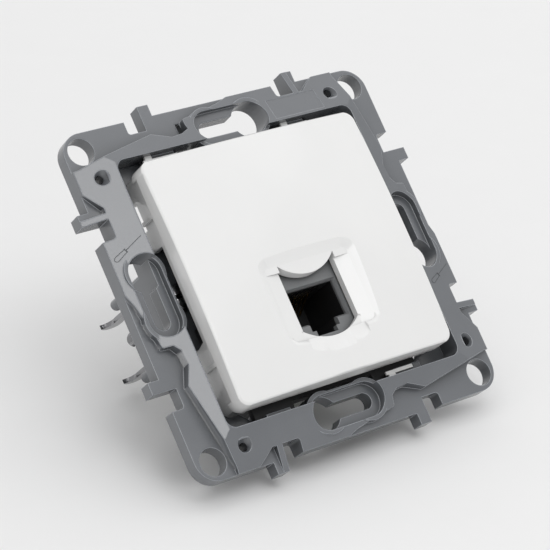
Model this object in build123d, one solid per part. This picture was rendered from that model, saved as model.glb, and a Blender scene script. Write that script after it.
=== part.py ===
"""Wall socket for one network plug, held in a round wall box by two screw-driven claws.

A square moulded support frame carries a domed cover plate, a clipped-in jack carrier, the jack
with its eight spring wires, and the punch-down block behind it. All sizes are in millimetres.
Every piece is drawn as seen from the room, x to the right, y up and z out of the wall, and is
then stood up: the back of the support frame lies on the wall plane Y = 0, its middle at the
origin, the front faces -Y and +Z points up.
"""
import os
from math import asin, cos, degrees, radians, sin, sqrt, tan

from build123d import *

# Support frame: a square plate with a big square opening
PLATE = 71.0
PLATE_CORNER_R = 4.5
BASE_T = 3.1
RIM_H = 6.0
LAND_EDGE_H = 3.84
OPENING = 55.0
OPENING_R = 2.0

# Fixing holes of the support frame
CORNER_HOLE_PITCH = 63.5
CORNER_HOLE_R = 2.75
SMALL_HOLE_AT = (25.22, 31.11)
SMALL_HOLE_R = 0.85
SMALL_HOLE_RIM_R = 1.4
BOX_SCREW_PITCH = 60.0
KEY_SEAT_R = 3.5
KEY_SLOT_W = 3.3
KEY_NEAR = -4.05
KEY_FAR = 5.6
KEY_LIP = 0.8
KEY_LIP_H = 4.6

# Joining tabs and the notches beside them, on every side of the frame
TAB_REACH = 2.4
TAB_W = 2.45
TAB_A = -16.63
TAB_B = 17.42
NOTCH_W = 4.0
NOTCH_DEPTH = 2.7

# Cover plate, a shallow dome
COVER_GAP = 2.5
COVER_TOP = 11.2
DOME_R = 320.0
COVER_R = 2.2
COVER_WALL = 1.6
COVER_EDGE = 0.4
COVER_BACK = 4.5
COVER_CREASE = 6.2
SKIRT_INSET = 0.5
SKIRT_T = 1.2
SKIRT_END = 0.6
SKIRT_GAP = (13.9, 19.4, 1.9)

# Recess and plug opening in the cover
RECESS_W = 22.3
RECESS_TOP = 0.0
RECESS_BOTTOM = -18.2
RECESS_R = 2.4
RECESS_RIM_DROP = 0.27
RECESS_STEP = 0.73
RECESS_DIP = 0.7
RECESS_SLOPE = 1.5
SCOOP_W = 13.8
SCOOP_START = -17.2
SCOOP_END = -21.6
SCOOP_START_H = 9.6
SCOOP_END_H = 10.84
SCOOP_R = 51.0
PORT_W = 13.0
PORT_SIDE = -14.9
PORT_BOTTOM = -17.35
TONGUE_R = 8.73
TONGUE_LOW = -4.55
BAND_LOW = -2.95
PORT_PLATE_T = 1.5

# Jack carrier, a dark tray clipped into the frame
CARRIER_LOW = 0.8
CARRIER_T = 1.4
CARRIER_WALL = 1.4
CARRIER_WALL_END = -8.0
CARRIER_WALL_HALF = 17.0
COLLAR_END = -6.0
SHELF_FROM = 11.0
SHELF_TO = 19.3
SHELF_REACH = 1.9
CLIP_H = 1.3
CLIP_WIDE = (-19.3, -13.2, 1.6)
CLIP_NARROW = (12.0, 17.5, 0.9)
LEG_X = 15.0
LEG_Z = 9.0
LEG_W = 5.0
LEG_T = 1.2

# Jack housing and its plug cavity
JACK_W = 17.2
JACK_TOP = 0.2
JACK_BOTTOM = -19.2
JACK_FACE = 7.5
JACK_BACK = -9.0
JACK_FIT = 0.1
CAVITY_W = 11.8
CAVITY_TOP = -6.35
CAVITY_BOTTOM = -13.4
CAVITY_END = -6.0
LATCH_W = 6.5
LATCH_BOTTOM = -16.2
INSERT_W = 13.8
INSERT_TOP = -2.5
INSERT_BOTTOM = -17.5
INSERT_FRONT = 6.2
COMB_FRONT = 5.3
COMB_SLOT_W = 0.54

# Spring wires, eight at an even pitch
WIRES = 8
WIRE_PITCH = 1.02
WIRE_T = 0.38
WIRE_Y = -5.5
WIRE_FOLD = 4.6
WIRE_FREE_END = (-8.75, -4.8)

# Board, punch-down block, blades and cap
BOARD_T = 1.2
BLOCK_W = 16.4
BLOCK_BASE_T = 1.2
TOWER_W = 4.6
TOWER_END = -17.5
BLADE_PITCH = 4.4
BLADE_T = 0.5
BLADE_W = 3.0
BLADE_SLOT_W = 0.36
CABLE_SLOT_W = 1.1
CAP_WALL = 1.1
CAP_MOUTH = -12.6
CAP_T = 1.5

# Claws and claw screws
SCREW_X = 23.1
SCREW_R = 1.5
SCREW_RUN = 0.06
HEAD_R = 2.8
HEAD_H = 2.0
HEAD_EDGE = 0.8
HEAD_SEAT = 0.5
SCREW_TIP = -22.4
BRIDGE_T = 3.0
BRIDGE_H = 10.5
GUARD_H = 6.7
GUARD_END = -11.0
POST_X = 23.3
POST_Z = 7.8
POST_R = 1.15
POST_END = -22.8
POST_TIP = 0.5
CLAW_FRONT = -13.0
CLAW_T = 1.2
TINE_Z = 5.9
TINE_T = 0.9
TINE_IN = 20.35
TINE_OUT = 22.7
TINE_END = -30.3
BARB_X = 24.9
BARB_H = -28.7

HALF = PLATE / 2
INNER = OPENING / 2
BAND = HALF - INNER
COVER = OPENING - 2 * COVER_GAP
RECESS_RIM_H = COVER_TOP - RECESS_RIM_DROP
RECESS_SHELF_H = RECESS_RIM_H - RECESS_STEP
RECESS_FLOOR = RECESS_SHELF_H - RECESS_DIP
SEAT = BOX_SCREW_PITCH / 2
JACK_MID = (JACK_TOP + JACK_BOTTOM) / 2
JACK_H = JACK_TOP - JACK_BOTTOM


def stood(shape):
    """Turn a piece from the drawing plane into the pose it has on the wall."""
    return Plane.XZ * shape


def turned(shape, times):
    """The same feature on another side of the square, clockwise from the top."""
    return Rot(0, 0, -90 * times) * shape


def block(x0, x1, y0, y1, z0, z1):
    """A straight block between the given limits."""
    low = (min(x0, x1), min(y0, y1), min(z0, z1))
    size = (abs(x1 - x0), abs(y1 - y0), abs(z1 - z0))
    return Pos(*low) * Box(*size, align=(Align.MIN, Align.MIN, Align.MIN))


def rect(x0, x1, y0, y1):
    """A flat rectangle between the given limits."""
    return Pos((x0 + x1) / 2, (y0 + y1) / 2) * Rectangle(abs(x1 - x0), abs(y1 - y0))


def prism(face, z0, z1):
    """A flat shape given thickness from z0 up to z1."""
    return Pos(0, 0, z0) * extrude(face, z1 - z0, dir=(0, 0, 1))


def disc(x, y, r, z0, z1):
    """A round peg or drill along z."""
    return Pos(x, y, z0) * Cylinder(r, z1 - z0, align=(Align.CENTER, Align.CENTER, Align.MIN))


def band(share):
    """Distance from the middle to a point across the frame's band, 0 inside and 1 outside."""
    return INNER + share * BAND


def smooth(points, radius):
    """A closed flat shape with softly rounded corners."""
    return make_face(FilletPolyline(*points, radius=radius, close=True))


def frame_outline():
    """The outer edge of the support frame with its notches and joining tabs."""
    floor = HALF - NOTCH_DEPTH
    reach = HALF + TAB_REACH
    outline = RectangleRounded(PLATE, PLATE, PLATE_CORNER_R)
    for k in range(4):
        for tab in (TAB_A, TAB_B):
            notch = rect(tab - NOTCH_W, tab + TAB_W / 2, floor, reach)
            notch = fillet([v for v in notch.vertices() if v.X < tab and v.Y < HALF], 0.6)
            outline -= turned(notch, k)
    for k in range(4):
        outline += turned(rect(TAB_A, TAB_A + TAB_W, INNER + BAND / 3, reach), k)
        outline += turned(rect(TAB_B, TAB_B + TAB_W, INNER + BAND / 3, reach), k)
    return outline


def low_areas():
    """The parts of one side of the frame that stay at the low level."""
    far = HALF + 2 * TAB_REACH
    edge = [
        (-far, band(0.05)), (-0.966 * HALF, band(0.075)), (-0.76 * HALF, band(0.25)),
        (-0.487 * HALF, band(0.475)), (-0.378 * HALF, band(0.27)), (-0.301 * HALF, band(0.3)),
        (-0.262 * HALF, band(0.42)), (-0.256 * HALF, band(0.68)), (-0.178 * HALF, band(0.725)),
        (0.0, band(0.8875)), (0.105 * HALF, band(1.05)), (0.105 * HALF, far), (-far, far),
    ]
    corner = smooth(edge, 0.45)
    wedge = Polygon(
        (TAB_B + TAB_W / 2, HALF - NOTCH_DEPTH),
        (TAB_B + 0.9 * TAB_W, HALF - NOTCH_DEPTH),
        (0.603 * HALF, band(0.83)),
        (0.662 * HALF, band(1.02)),
        (0.662 * HALF, far),
        (TAB_B + TAB_W / 2, far),
        align=None,
    )
    return corner, wedge


def keyhole_parts():
    """The lip, the sunk seat and the through holes of one box-screw keyhole."""
    near = (KEY_NEAR, SEAT)
    far = (KEY_FAR, SEAT)
    lip_r = KEY_SEAT_R + KEY_LIP
    waist = SEAT - KEY_SEAT_R - KEY_LIP / 2
    lip = Pos(*near) * Circle(lip_r) + Pos(*far) * Circle(lip_r)
    lip += rect(KEY_NEAR, KEY_FAR, waist, SEAT)
    hollows = [v for v in lip.vertices() if abs(v.Y - waist) < 0.01]
    lip = fillet(hollows, 1.5)
    lip = prism(lip, 0, KEY_LIP_H)
    seat = Pos(*near) * Circle(KEY_SEAT_R) + Pos(*far) * Circle(KEY_SEAT_R)
    seat += rect(KEY_NEAR, KEY_FAR, SEAT - KEY_SEAT_R, SEAT + KEY_SEAT_R)
    seat = prism(seat, BASE_T, RIM_H + 1)
    slot = rect(KEY_NEAR, KEY_FAR, SEAT - KEY_SLOT_W / 2, SEAT + KEY_SLOT_W / 2)
    slot += Pos(*near) * Circle(KEY_SLOT_W / 2) + Pos(*far) * Circle(KEY_SEAT_R)
    return lip, seat, prism(slot, -1, RIM_H)


def bridge(side):
    """Seat for one claw screw with the two posts that guide the claw; side is 1 or -1."""
    back = HEAD_SEAT - BRIDGE_T
    body = block(SCREW_X - 3.6, INNER + 0.2, -BRIDGE_H, BRIDGE_H, back, HEAD_SEAT)
    body += block(INNER - 1.1, INNER + 0.2, -BRIDGE_H, BRIDGE_H, back, BASE_T)
    body += block(INNER - 1.1, INNER + 0.2, -GUARD_H, GUARD_H, GUARD_END, 0)
    for y in (-POST_Z, POST_Z):
        body += disc(POST_X, y, POST_R, POST_END + POST_TIP, back)
        body += disc(POST_X, y, POST_R + 0.4, back - 1.6, back)
        tip = Cone(POST_R - POST_TIP, POST_R, POST_TIP)
        body += Pos(POST_X, y, POST_END + POST_TIP / 2) * tip
    body -= disc(SCREW_X, 0, SCREW_R + SCREW_RUN, back - 1, HEAD_SEAT + 1)
    return body if side > 0 else Rot(0, 0, 180) * body


def support_frame():
    """The moulded frame: low plate, sloping lands, keyholes, tabs, ledges and bridges."""
    outline = frame_outline()
    body = prism(outline, 0, BASE_T)
    corner, wedge = low_areas()
    high = outline
    for k in range(4):
        high -= turned(corner, k)
        high -= turned(wedge, k)
    slope = (RIM_H - LAND_EDGE_H) / BAND
    spread = (RIM_H - BASE_T) / slope
    wide = Pos(0, 0, BASE_T) * Rectangle(OPENING + 2 * spread, OPENING + 2 * spread)
    top = Pos(0, 0, RIM_H) * Rectangle(OPENING, OPENING)
    roof = loft([wide, top])
    body += prism(high, BASE_T, RIM_H + 1) & roof
    body -= prism(RectangleRounded(OPENING, OPENING, OPENING_R), -1, RIM_H + 1)
    lip, seat, slot = keyhole_parts()
    for k in range(4):
        body += turned(lip, k)
    for k in range(4):
        body -= turned(seat, k)
        body -= turned(slot, k)
    pitch = CORNER_HOLE_PITCH / 2
    for x in (-pitch, pitch):
        for y in (-pitch, pitch):
            body -= disc(x, y, CORNER_HOLE_R, -1, RIM_H + 1)
    sink_z = RIM_H - slope * (SMALL_HOLE_AT[1] - INNER)
    sink_d = 1.2
    for k in range(4):
        body -= turned(disc(*SMALL_HOLE_AT, SMALL_HOLE_R, -1, RIM_H), k)
        sink = Cone(SMALL_HOLE_R, SMALL_HOLE_RIM_R + 0.35, sink_d)
        body -= turned(Pos(*SMALL_HOLE_AT, sink_z - sink_d / 2 + 0.35) * sink, k)
    mark = Polygon((-10.28, band(0.661)), (-9.35, band(0.635)), (-9.1, band(0.39)),
                   (-10.15, band(0.339)), align=None)
    body -= prism(mark, -1, RIM_H + 1)
    # Shelves under the carrier and clips over it, the same when turned half round
    over = CARRIER_LOW + CARRIER_T
    edge = INNER + 0.2
    for k in (0, 2):
        holds = block(SHELF_FROM, SHELF_TO, INNER - SHELF_REACH, edge, 0, CARRIER_LOW)
        holds += block(-SHELF_TO, -SHELF_FROM, INNER - SHELF_REACH, edge, 0, CARRIER_LOW)
        for start, stop, reach in (CLIP_WIDE, CLIP_NARROW):
            holds += block(start, stop, INNER - reach, edge, over, over + CLIP_H)
        body += turned(holds, k)
    for side in (-1, 1):
        body += bridge(side)
    return body


def front_cover():
    """The domed cover plate with the sunk plug window."""
    dome = Pos(0, 0, COVER_TOP - DOME_R) * Rot(90, 0, 0) * Sphere(DOME_R)
    body = prism(RectangleRounded(COVER, COVER, COVER_R), COVER_BACK, COVER_TOP + 1) & dome
    rim = [e for e in body.edges() if e.center().Z > COVER_BACK + 2 and e.length > 1
           and abs(e.position_at(0).Z - e.position_at(1).Z) < 1.5]
    body = chamfer(rim, COVER_EDGE)
    inner = Pos(0, 0, COVER_TOP - DOME_R) * Rot(90, 0, 0) * Sphere(DOME_R - COVER_WALL)
    room = COVER - 2 * COVER_WALL
    hollow = prism(RectangleRounded(room, room, COVER_R / 2), -5, COVER_TOP) & inner
    body -= hollow
    # Side walls end higher than the top and bottom walls
    for side in (-1, 1):
        x0 = side * (COVER / 2 - SKIRT_INSET)
        x1 = side * (COVER / 2 + 1)
        body -= block(x0, x1, -COVER / 2 + COVER_R, COVER / 2 - COVER_R, 0, COVER_CREASE)
    # Inset skirt inside the frame's opening, arched over each claw screw
    outer = COVER - 2 * SKIRT_INSET
    ring = RectangleRounded(outer, outer, COVER_R - SKIRT_INSET)
    ring -= RectangleRounded(outer - 2 * SKIRT_T, outer - 2 * SKIRT_T, COVER_R / 4)
    skirt = prism(ring, SKIRT_END, COVER_CREASE + 1.5)
    arch = Polygon((9.6, SKIRT_END - 1), (9.6, COVER_CREASE), (-9.8, COVER_CREASE),
                   (-11.4, SKIRT_END - 1), align=None)
    arch = extrude(Plane.YZ * arch, COVER, dir=(-1, 0, 0))
    start, stop, height = SKIRT_GAP
    for k in (0, 2):
        skirt -= turned(block(-21, 20, COVER / 2 - 3, COVER / 2, SKIRT_END - 1, COVER_BACK), k)
        skirt -= turned(arch, k)
        skirt -= turned(block(-COVER / 2, 0, start, stop, SKIRT_END - 1, height), k)
        for y in (-15.2, 15.2):
            rib = block(-COVER / 2, -COVER / 2 + 1, y - 0.4, y + 0.4, height, COVER_CREASE + 0.5)
            skirt += turned(rib, k)
    body += skirt
    # Thick pad behind the plug window
    pad_low = RECESS_FLOOR - PORT_PLATE_T
    half = RECESS_W / 2 + 1.2
    low = SCOOP_END - 1.3
    body += block(-half, half, low, RECESS_TOP + 1.2, pad_low, RECESS_SHELF_H)
    # Recess with sloping walls down to a shelf, and side floors that dip to the opening
    mid = (RECESS_TOP + RECESS_BOTTOM) / 2
    tall = RECESS_TOP - RECESS_BOTTOM - 2 * RECESS_SLOPE
    wide = RECESS_W - 2 * RECESS_SLOPE
    rise = COVER_TOP + 0.3 - RECESS_SHELF_H
    grow = 2 * RECESS_SLOPE * rise / (RECESS_RIM_H - RECESS_SHELF_H)
    foot = RectangleRounded(wide, tall, RECESS_R - 1.1)
    mouth = RectangleRounded(wide + grow, tall + grow, RECESS_R + 0.5)
    cut = loft([Pos(0, mid, RECESS_SHELF_H) * foot, Pos(0, mid, RECESS_SHELF_H + rise) * mouth])
    tongue = Pos(0, TONGUE_LOW + TONGUE_R) * Circle(TONGUE_R)
    dip = Polygon((-wide / 2, RECESS_SHELF_H), (-PORT_W / 2, RECESS_FLOOR),
                  (PORT_W / 2, RECESS_FLOOR), (wide / 2, RECESS_SHELF_H),
                  (wide / 2, COVER_TOP), (-wide / 2, COVER_TOP), align=None)
    dip = extrude(Plane((0, BAND_LOW, 0), x_dir=(1, 0, 0), z_dir=(0, -1, 0)) * dip,
                  COVER / 2, dir=(0, -1, 0))
    dip = dip & prism(Pos(0, mid) * foot, RECESS_FLOOR - 1, COVER_TOP)
    cut += dip - prism(tongue, 0, COVER_TOP)
    body -= cut
    # Finger scoop: an inclined hollow that runs up to the surface below the opening
    run = Vector(0, SCOOP_END - SCOOP_START, SCOOP_END_H - SCOOP_START_H).normalized()
    axis = Vector(0, SCOOP_START, SCOOP_START_H) + Vector(0, run.Z, -run.Y) * SCOOP_R
    scoop = Plane(axis, x_dir=(1, 0, 0), z_dir=run) * Cylinder(SCOOP_R, COVER)
    scoop = scoop & block(-SCOOP_W / 2, SCOOP_W / 2, SCOOP_END - 2, PORT_SIDE,
                          RECESS_FLOOR - 0.8, COVER_TOP + 1)
    body -= scoop
    # Plug opening under the round tongue
    half = PORT_W / 2
    top = (-half, TONGUE_LOW + 3.5)
    side = [Line((half, PORT_SIDE), (half, top[1])), Line((half, top[1]), top),
            Line(top, (-half, PORT_SIDE)),
            ThreePointArc((-half, PORT_SIDE), (0, PORT_BOTTOM), (half, PORT_SIDE))]
    port = make_face(side) - tongue
    body -= prism(port, pad_low - 1, COVER_TOP)
    # Two snap legs that hook under the carrier
    for side in (-1, 1):
        x = side * LEG_X
        left = x - LEG_W / 2
        right = x + LEG_W / 2
        low = CARRIER_LOW - 1.1
        body += block(left, right, LEG_Z, LEG_Z + LEG_T, low, COVER_TOP - COVER_WALL)
        body += block(left, right, LEG_Z + LEG_T, LEG_Z + LEG_T + 0.5, low, CARRIER_LOW)
    return body


def jack_carrier():
    """The dark tray that holds the jack behind the cover."""
    top = CARRIER_LOW + CARRIER_T
    inside = COVER / 2 - SKIRT_INSET - SKIRT_T - 0.4
    plate = rect(-inside, inside, -inside, inside)
    plate += rect(-SHELF_TO, SHELF_TO, -INNER + 0.3, INNER - 0.3)
    lip = KEY_SEAT_R + KEY_LIP + 0.3
    for k in (0, 2):
        room = rect(KEY_NEAR - lip, KEY_FAR + lip, SEAT - lip, INNER)
        plate -= turned(room, k)
        plate -= turned(rect(-COVER / 2, -SCREW_X + 3.5, -6.8, 9.5), k)
    body = prism(plate, CARRIER_LOW, top)
    # Walls behind the plate, top and bottom, and the collar round the jack
    far = inside + CARRIER_WALL
    for k in (0, 2):
        wall = block(-CARRIER_WALL_HALF, CARRIER_WALL_HALF, inside, far, CARRIER_WALL_END, top)
        body += turned(wall, k)
    half = JACK_W / 2 + JACK_FIT
    collar = rect(-half - CARRIER_WALL, half + CARRIER_WALL,
                  JACK_BOTTOM - JACK_FIT - CARRIER_WALL, JACK_TOP + JACK_FIT + CARRIER_WALL)
    body += prism(collar, COLLAR_END, top)
    body -= block(-half, half, JACK_BOTTOM - JACK_FIT, JACK_TOP + JACK_FIT, -20, top + 1)
    for side in (-1, 1):
        x = side * LEG_X
        left = x - LEG_W / 2 - 0.3
        right = x + LEG_W / 2 + 0.3
        body -= block(left, right, LEG_Z - 0.3, LEG_Z + LEG_T + 0.9, CARRIER_LOW - 1, top + 1)
    return body


def plug_way(front, back):
    """The room for a plug: its cavity and the stepped slot for its latch."""
    half = LATCH_W / 2
    room = block(-CAVITY_W / 2, CAVITY_W / 2, CAVITY_BOTTOM, CAVITY_TOP, back, front)
    room += block(-half, half, LATCH_BOTTOM + 1.1, CAVITY_BOTTOM, back, front)
    room += block(-half + 0.9, half - 0.9, LATCH_BOTTOM, CAVITY_BOTTOM, back, front)
    return room


def jack_housing():
    """The grey jack shell with its front bezel and rear flange."""
    half = JACK_W / 2
    body = block(-half, half, JACK_BOTTOM, JACK_TOP, JACK_BACK, JACK_FACE)
    flange = half + CARRIER_WALL
    body += block(-flange, flange, JACK_BOTTOM - CARRIER_WALL, JACK_TOP + CARRIER_WALL,
                  COLLAR_END - CARRIER_WALL, COLLAR_END)
    body -= plug_way(JACK_FACE + 1, 0)
    # Sloping lead-in round the cavity mouth
    mouth = Plane((0, (CAVITY_TOP + CAVITY_BOTTOM) / 2, JACK_FACE - 0.7))
    tall = CAVITY_TOP - CAVITY_BOTTOM
    body -= extrude(mouth * Rectangle(CAVITY_W, tall), 0.8, taper=-28)
    # Room for the black insert, open at the back
    side = INSERT_W / 2 + JACK_FIT
    body -= block(-side, side, INSERT_BOTTOM - JACK_FIT, INSERT_TOP + JACK_FIT,
                  JACK_BACK - 1, INSERT_FRONT)
    return body


def contact_insert():
    """The black insert that lines the plug cavity and parts the spring wires."""
    side = INSERT_W / 2
    body = block(-side, side, INSERT_BOTTOM, INSERT_TOP, JACK_BACK, INSERT_FRONT)
    body -= plug_way(JACK_FACE, CAVITY_END)
    roof = WIRE_Y + WIRE_T / 2 + 0.05
    gap = COMB_SLOT_W / 2
    for x in wire_places():
        body -= block(x - gap, x + gap, CAVITY_TOP - 0.5, roof, CAVITY_END - 0.01, COMB_FRONT)
        body -= block(x - gap, x + gap, WIRE_Y - WIRE_T / 2 - 0.05, roof, JACK_BACK - 1, 0)
    return body


def wire_places():
    """Side positions of the spring wires."""
    return [(i - (WIRES - 1) / 2) * WIRE_PITCH for i in range(WIRES)]


def contact_wire(x):
    """One spring wire: along the comb, folded at the front, sloping back into the cavity."""
    start = (x, WIRE_Y, JACK_BACK - BOARD_T + 0.05)
    fold = (x, WIRE_Y, WIRE_FOLD)
    end = (x, *WIRE_FREE_END)
    path = FilletPolyline(start, fold, end, radius=0.36)
    return sweep(Plane(start, x_dir=(1, 0, 0), z_dir=(0, 0, 1)) * Rectangle(WIRE_T, WIRE_T),
                 path=path)


def jack_board():
    """The small circuit board behind the jack."""
    tall = JACK_H / 2 + 1.2
    half = JACK_W / 2 + 0.2
    back = JACK_BACK - BOARD_T
    body = block(-half, half, JACK_MID - tall, JACK_MID + tall, back, JACK_BACK)
    for x in wire_places():
        gap = WIRE_T / 2 + 0.05
        body -= block(x - gap, x + gap, WIRE_Y - gap, WIRE_Y + gap, back - 1, JACK_BACK + 1)
    return body


def blade_places():
    """Middle of each punch-down blade, four on either side."""
    rows = [(i - 1.5) * BLADE_PITCH + JACK_MID for i in range(4)]
    side = BLOCK_W / 2 - TOWER_W / 2
    return [(x, y) for x in (-side, side) for y in reversed(rows)]


def idc_block():
    """The punch-down block: a base with two slotted towers."""
    front = JACK_BACK - BOARD_T
    half = BLOCK_W / 2
    tall = 2 * BLADE_PITCH + 1.3
    low = JACK_MID - tall
    high = JACK_MID + tall
    body = block(-half, half, low, high, front - BLOCK_BASE_T, front)
    for side in (-1, 1):
        body += block(side * (half - TOWER_W), side * half, low, high, TOWER_END, front)
    for x, y in blade_places():
        gap = CABLE_SLOT_W / 2
        body -= block(x - TOWER_W, x + TOWER_W, y - gap, y + gap, TOWER_END - 1, TOWER_END + 4.0)
        body -= block(x - BLADE_T / 2 - 0.05, x + BLADE_T / 2 + 0.05,
                      y - BLADE_W / 2 - 0.05, y + BLADE_W / 2 + 0.05, TOWER_END - 1, front + 1)
    return body


def idc_blade(x, y):
    """One forked punch-down blade standing on the board."""
    foot = JACK_BACK - BOARD_T
    tip = TOWER_END + 0.9
    half = BLADE_W / 2
    slit = BLADE_SLOT_W / 2
    fork = Polygon((half, foot), (half, tip), (half - 0.6, tip), (slit, tip + 1.3),
                   (slit, tip + 4.2), (-slit, tip + 4.2), (-slit, tip + 1.3),
                   (-half + 0.6, tip), (-half, tip), (-half, foot), align=None)
    return Pos(x - BLADE_T / 2, y, 0) * extrude(Plane.YZ * fork, BLADE_T, dir=(1, 0, 0))


def wire_cap():
    """The cap that presses the cable cores into the blades."""
    half = BLOCK_W / 2 + 0.1
    tall = 2 * BLADE_PITCH + 1.4
    low = JACK_MID - tall
    high = JACK_MID + tall
    body = block(-half - CAP_WALL, half + CAP_WALL, low - CAP_WALL, high + CAP_WALL,
                 TOWER_END - CAP_T, CAP_MOUTH)
    ends = [e for e in body.edges().filter_by(Axis.Z)]
    body = fillet(ends, 0.9)
    body -= block(-half, half, low, high, TOWER_END, CAP_MOUTH + 1)
    for x, y in blade_places():
        out = half + CAP_WALL + 1
        side = 1 if x > 0 else -1
        body -= block(side * (half - 0.5), side * out, y - 0.9, y + 0.9,
                      TOWER_END + 1.8, CAP_MOUTH + 1)
        body += block(x + side * (BLADE_T / 2 + 0.3), side * half, y - 0.4, y + 0.4,
                      TOWER_END - 0.2, TOWER_END + 1.4)
    body -= disc(0, JACK_MID, 2.6, TOWER_END - CAP_T - 1, TOWER_END + 1)
    return body


def claw_screw(side):
    """One claw screw: domed head with a slot and cross, plain drawn shank, pointed off."""
    top = HEAD_SEAT + HEAD_H
    head = disc(0, 0, HEAD_R, HEAD_SEAT, HEAD_SEAT + HEAD_EDGE)
    low, mid = HEAD_SEAT + HEAD_EDGE, HEAD_SEAT + (HEAD_EDGE + HEAD_H) / 2 + 0.2
    shoulder = HEAD_R - 0.5
    head += Pos(0, 0, (low + mid) / 2) * Cone(HEAD_R, shoulder, mid - low)
    head += Pos(0, 0, (mid + top) / 2) * Cone(shoulder, HEAD_R / 2, top - mid)
    head -= block(-HEAD_R - 1, HEAD_R + 1, -0.4, 0.4, top - 1.1, top + 1)
    head -= block(-0.4, 0.4, -1.5, 1.5, top - 1.2, top + 1)
    shank = disc(0, 0, SCREW_R, SCREW_TIP, HEAD_SEAT)
    shank = chamfer(shank.edges().sort_by(Axis.Z)[0], 0.7)
    return Pos(side * SCREW_X, 0, 0) * (head + shank)


def claw(side):
    """One pressed claw: a tapped cross plate and two sickle tines whose barbs bite outwards."""
    back = CLAW_FRONT - CLAW_T
    wing = TINE_Z - TINE_T / 2 - 0.2
    edge = TINE_Z + TINE_T / 2
    plate = rect(TINE_IN, SCREW_X + 2.1, -wing, wing)
    plate = fillet([v for v in plate.vertices() if v.X > SCREW_X], 1.0)
    plate += rect(TINE_IN, TINE_OUT, -edge, edge)
    body = prism(plate, back, CLAW_FRONT)
    turn = BARB_H + 2.7
    heel = (TINE_IN + TINE_OUT) / 2 + 0.5
    sickle = make_face([
        Line((TINE_IN, CLAW_FRONT), (TINE_OUT, CLAW_FRONT)),
        Line((TINE_OUT, CLAW_FRONT), (TINE_OUT, turn)),
        ThreePointArc((TINE_OUT, turn), (TINE_OUT + 0.55, BARB_H + 0.75), (BARB_X, BARB_H)),
        ThreePointArc((BARB_X, BARB_H), (BARB_X - 1.2, BARB_H - 1.15), (heel, TINE_END)),
        ThreePointArc((heel, TINE_END), (TINE_IN + 0.45, TINE_END + 0.8),
                      (TINE_IN, TINE_END + 2.6)),
        Line((TINE_IN, TINE_END + 2.6), (TINE_IN, CLAW_FRONT)),
    ])
    for y in (-TINE_Z, TINE_Z):
        flat = Plane((0, y + TINE_T / 2, 0), x_dir=(1, 0, 0), z_dir=(0, -1, 0))
        body += extrude(flat * sickle, TINE_T, dir=(0, -1, 0))
    body -= disc(SCREW_X, 0, SCREW_R + SCREW_RUN, back - 1, CLAW_FRONT + 1)
    return body if side > 0 else Rot(0, 0, 180) * body


pieces = {
    "support_frame": support_frame(),
    "front_cover": front_cover(),
    "jack_carrier": jack_carrier(),
    "jack_housing": jack_housing(),
    "contact_insert": contact_insert(),
    "jack_board": jack_board(),
    "idc_block": idc_block(),
    "wire_cap": wire_cap(),
    "claw_left": claw(-1),
    "claw_right": claw(1),
    "claw_screw_left": claw_screw(-1),
    "claw_screw_right": claw_screw(1),
}
for number, x in enumerate(wire_places(), 1):
    pieces[f"contact_{number}"] = contact_wire(x)
for number, place in enumerate(blade_places(), 1):
    pieces[f"idc_terminal_{number}"] = idc_blade(*place)

os.makedirs("parts", exist_ok=True)
for name, piece in pieces.items():
    export_step(stood(piece), f"parts/{name}.step")
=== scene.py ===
"""Network wall socket with claw fixing: finished pieces, materials and a plain studio.

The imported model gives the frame. Each operator below makes one piece, or a group of like
pieces, from it. Sizes are in metres: x to the right, -y towards the room, z up the wall.
"""
import math

import bmesh
import bpy
from bpy.props import FloatProperty, FloatVectorProperty, PointerProperty
from bpy.types import NodeSocket, Operator, Panel, PropertyGroup
from mathutils import Matrix, Vector


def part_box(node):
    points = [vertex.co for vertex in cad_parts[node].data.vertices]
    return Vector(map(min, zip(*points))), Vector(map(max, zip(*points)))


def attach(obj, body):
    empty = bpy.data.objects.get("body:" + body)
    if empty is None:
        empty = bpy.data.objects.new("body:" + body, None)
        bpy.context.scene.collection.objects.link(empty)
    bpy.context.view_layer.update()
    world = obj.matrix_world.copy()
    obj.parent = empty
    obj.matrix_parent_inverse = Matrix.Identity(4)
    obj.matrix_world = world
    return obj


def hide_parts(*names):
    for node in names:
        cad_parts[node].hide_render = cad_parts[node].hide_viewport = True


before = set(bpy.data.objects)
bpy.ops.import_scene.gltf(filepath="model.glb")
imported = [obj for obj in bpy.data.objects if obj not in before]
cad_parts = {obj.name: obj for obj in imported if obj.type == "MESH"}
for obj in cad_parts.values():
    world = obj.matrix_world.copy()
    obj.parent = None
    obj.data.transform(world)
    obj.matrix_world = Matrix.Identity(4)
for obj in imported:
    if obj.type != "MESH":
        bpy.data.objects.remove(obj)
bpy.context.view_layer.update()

bl_info = {
    "name": "Network Wall Socket",
    "version": (1, 0, 0),
    "blender": (4, 5, 0),
    "location": "3D View > Sidebar > Wall Socket",
    "description": "Builds the finished pieces of a flush network wall socket",
    "category": "Add Mesh",
}

MM = 0.001
DOUBLES = 1e-6

# Places that the CAD model sets
OPENING_HALF = 27.5 * MM
LAND_SLOPE = 0.27
SCREW_SEAT = -0.5 * MM
WIRE_COUNT = 8
WIRE_ROOF = -5.5 * MM
WIRE_END = (4.8 * MM, -8.75 * MM)

# The gap's catch strips: start, length, and 1 above the cover or -1 below it
CATCH_STRIPS = ((10.7 * MM, 6.4 * MM, -1), (11.3 * MM, 6.6 * MM, 1), (-20.6 * MM, 7.7 * MM, 1))
# Their front and back, the inner edge's distance from the opening's wall, the foot's two ends
# along the strip, and how deep the foot goes into that wall
CATCH_FRONT_BACK = (-4.1 * MM, -3.6 * MM)
CATCH_INSET = 1.4 * MM
CATCH_FOOT = (0.5 * MM, 2.0 * MM)
CATCH_ROOT = 0.2 * MM

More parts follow.
